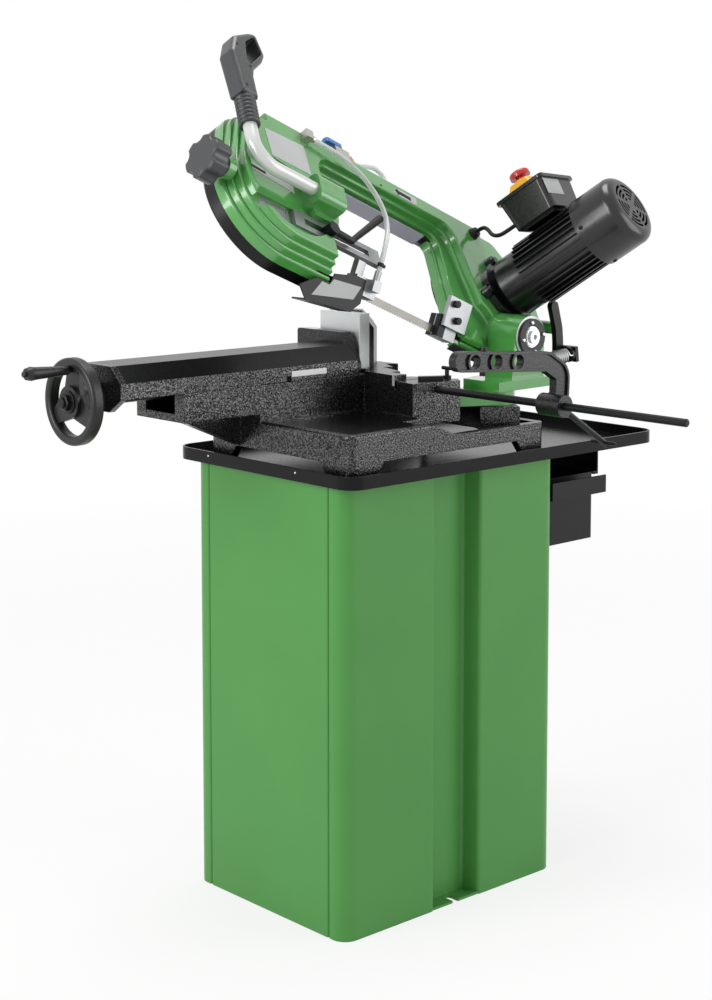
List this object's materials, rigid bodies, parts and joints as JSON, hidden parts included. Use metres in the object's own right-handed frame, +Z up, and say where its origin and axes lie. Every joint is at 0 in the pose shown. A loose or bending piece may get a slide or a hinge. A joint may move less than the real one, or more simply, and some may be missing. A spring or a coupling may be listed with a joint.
{
  "type": "metal cutting band saw",
  "caption": "Horizontal metal cutting band saw with tilted bow, vise, swivel bracket, spring lift, length stop, coolant tank and chip tray on a sheet stand",
  "frame": {"origin": "on the floor, under the middle of the stand", "axes": "+Z up, -Y towards the operator's end with the handwheel, +X to the outfeed side with the motor and the stop rod"},
  "size_m": [0.816, 1.074, 1.3772],
  "materials": {
    "green_powder_coat": "satin",
    "green_casting_paint": "gloss",
    "black_enamel": "gloss",
    "black_iron_paint": "rough",
    "machined_steel": "brushed",
    "zinc_plate": "bright",
    "brass": "turned",
    "dark_grey_plastic": "matte",
    "silver_aluminium": "satin",
    "black_motor_paint": "satin",
    "dark_sheet": "satin",
    "yellow_plastic": "gloss",
    "red_plastic": "gloss",
    "blue_plastic": "gloss",
    "black_rubber": "matte",
    "clear_hose": "clear"
  },
  "bodies": {
    "stand": {"stand_side_right": "green_powder_coat", "stand_side_left": "green_powder_coat", "stand_front_panel": "green_powder_coat", "stand_rear_panel": "green_powder_coat", "chip_tray": "black_enamel", "tank_rails": "black_enamel", "base_casting": "black_iron_paint", "fixed_jaw": "black_iron_paint", "fixed_jaw_plate": "machined_steel", "screw_nut": "brass", "angle_pointer": "machined_steel"},
    "tank": {"coolant_tank": "black_enamel"},
    "angle_lock": {"angle_lock": "machined_steel"},
    "vise": {"vise_slide": "black_iron_paint", "vise_cover": "black_enamel", "moving_jaw": "black_iron_paint"},
    "handwheel": {"handwheel": "dark_grey_plastic", "vise_screw": "machined_steel"},
    "crank": {"crank_grip": "dark_grey_plastic"},
    "stop_rod": {"stop_rod": "machined_steel"},
    "stop_arm": {"stop_arm": "black_iron_paint"},
    "stop_lever": {"stop_lever": "machined_steel"},
    "swivel": {"swivel_bracket": "green_casting_paint", "pivot_cap": "dark_grey_plastic", "lift_spring": "zinc_plate"},
    "bow": {"bow_casting": "green_casting_paint", "front_cover": "black_enamel", "rear_cover": "black_enamel", "return_guard": "silver_aluminium", "chip_deflector": "dark_sheet", "pivot_shaft": "machined_steel", "rear_guide": "machined_steel", "saw_blade": "machined_steel", "motor_flange": "black_motor_paint", "motor_housing": "black_motor_paint", "fan_cowl": "black_enamel", "switch_box": "dark_grey_plastic", "stop_housing": "yellow_plastic", "handle_tube": "silver_aluminium", "handle_grip": "dark_grey_plastic", "coolant_valve": "brass", "hose_fitting": "brass", "line_grommets": "black_rubber", "loop_hose": "clear_hose", "motor_cable": "black_rubber", "tail_lever": "black_enamel", "spring_bolt": "zinc_plate", "coolant_hose": "clear_hose"},
    "drive_wheel": {"drive_wheel": "black_iron_paint"},
    "fan": {"cooling_fan": "dark_grey_plastic"},
    "idler_block": {"idler_block": "machined_steel"},
    "idler_wheel": {"idler_wheel": "black_iron_paint"},
    "tension_knob": {"tension_knob": "dark_grey_plastic"},
    "guide": {"guide_arm": "machined_steel", "front_guide": "machined_steel", "blade_guard": "black_enamel"},
    "guide_clamp": {"guide_clamp_lever": "dark_grey_plastic"},
    "trigger": {"trigger": "dark_grey_plastic"},
    "stop_button": {"stop_button": "red_plastic"},
    "valve_lever": {"valve_lever": "blue_plastic"}
  },
  "joints": [
    {"name": "tank_slide", "type": "slide", "parent": "stand", "child": "tank", "axis": [1, 0, 0], "range_m": [0, 0.25]},
    {"name": "angle_lock_turn", "type": "hinge", "parent": "stand", "child": "angle_lock", "pos_m": [0.088, 0.072, 0.84], "axis": [0, 0, 1], "range_deg": [0, 90]},
    {"name": "vise_slide", "type": "slide", "parent": "stand", "child": "vise", "axis": [0, -1, 0], "range_m": [-0.0085, 0.15]},
    {"name": "handwheel_turn", "type": "hinge", "parent": "vise", "child": "handwheel", "pos_m": [-0.082, -0.5, 0.83], "axis": [0, -1, 0], "range_deg": [-640, 10820]},
    {"name": "crank_spin", "type": "hinge", "parent": "handwheel", "child": "crank", "pos_m": [-0.082, -0.58, 0.877], "axis": [0, 1, 0], "continuous": true},
    {"name": "stop_rod_turn", "type": "hinge", "parent": "stand", "child": "stop_rod", "pos_m": [0.2, 0.03, 0.817], "axis": [1, 0, 0], "range_deg": [-90, 10]},
    {"name": "stop_arm_slide", "type": "slide", "parent": "stop_rod", "child": "stop_arm", "axis": [1, 0, 0], "range_m": [-0.125, 0.215]},
    {"name": "stop_lever_turn", "type": "hinge", "parent": "stop_arm", "child": "stop_lever", "pos_m": [0.366, 0.03, 0.817], "axis": [0, 0.8412, -0.5408], "range_deg": [0, 90]},
    {"name": "mitre_turn", "type": "hinge", "parent": "stand", "child": "swivel", "pos_m": [0.058, 0.02, 0.8], "axis": [0, 0, 1], "range_deg": [0, 45]},
    {"name": "bow_lift", "type": "hinge", "parent": "swivel", "child": "bow", "pos_m": [0.1, 0.219, 0.89], "axis": [-1, 0, 0], "range_deg": [-24.5, 12], "deforming": ["lift_spring"]},
    {"name": "drive_spin", "type": "hinge", "parent": "bow", "child": "drive_wheel", "pos_m": [-0.00308, 0.24426, 0.92225], "axis": [0.7986, 0.2303, 0.556], "continuous": true},
    {"name": "fan_spin", "type": "hinge", "parent": "bow", "child": "fan", "pos_m": [0.21783, 0.31474, 1.07934], "axis": [0.7986, 0.2303, 0.556], "continuous": true},
    {"name": "idler_slide", "type": "slide", "parent": "bow", "child": "idler_block", "axis": [0, 0.9239, -0.3827], "range_m": [0, 0.004]},
    {"name": "idler_spin", "type": "hinge", "parent": "idler_block", "child": "idler_wheel", "pos_m": [-0.00308, -0.21869, 1.11401], "axis": [0.7986, 0.2303, 0.556], "continuous": true},
    {"name": "tension_turn", "type": "hinge", "parent": "bow", "child": "tension_knob", "pos_m": [0.01369, -0.33387, 1.1754], "axis": [0, -0.9239, 0.3827], "range_deg": [-20, 740]},
    {"name": "guide_slide", "type": "slide", "parent": "bow", "child": "guide", "axis": [0, 0.9239, -0.3827], "range_m": [0, 0.044], "deforming": ["coolant_hose"]},
    {"name": "guide_clamp_turn", "type": "hinge", "parent": "bow", "child": "guide_clamp", "pos_m": [0.05985, -0.15861, 1.07066], "axis": [0.7986, 0.2303, 0.556], "range_deg": [-40, 10]},
    {"name": "trigger_press", "type": "slide", "parent": "bow", "child": "trigger", "axis": [0, -0.9239, 0.3827], "range_m": [0, 0.006], "stiffness_N_per_m": 400, "springref_m": -0.004},
    {"name": "stop_press", "type": "slide", "parent": "bow", "child": "stop_button", "axis": [0.5568, 0.0678, -0.8279], "range_m": [0, 0.005], "stiffness_N_per_m": 600, "springref_m": -0.004},
    {"name": "valve_turn", "type": "hinge", "parent": "bow", "child": "valve_lever", "pos_m": [-0.07213, -0.02206, 1.19649], "axis": [-0.6018, 0.3056, 0.7378], "range_deg": [0, 90]}
  ],
  "couplings": [
    {"joint": "handwheel_turn", "follows": "vise_slide", "rad_per_m": 1256.6},
    {"joint": "tension_turn", "follows": "idler_slide", "rad_per_m": 3141.6},
    {"joint": "idler_spin", "follows": "drive_spin", "ratio": 1},
    {"joint": "fan_spin", "follows": "drive_spin", "ratio": 20}
  ]
}
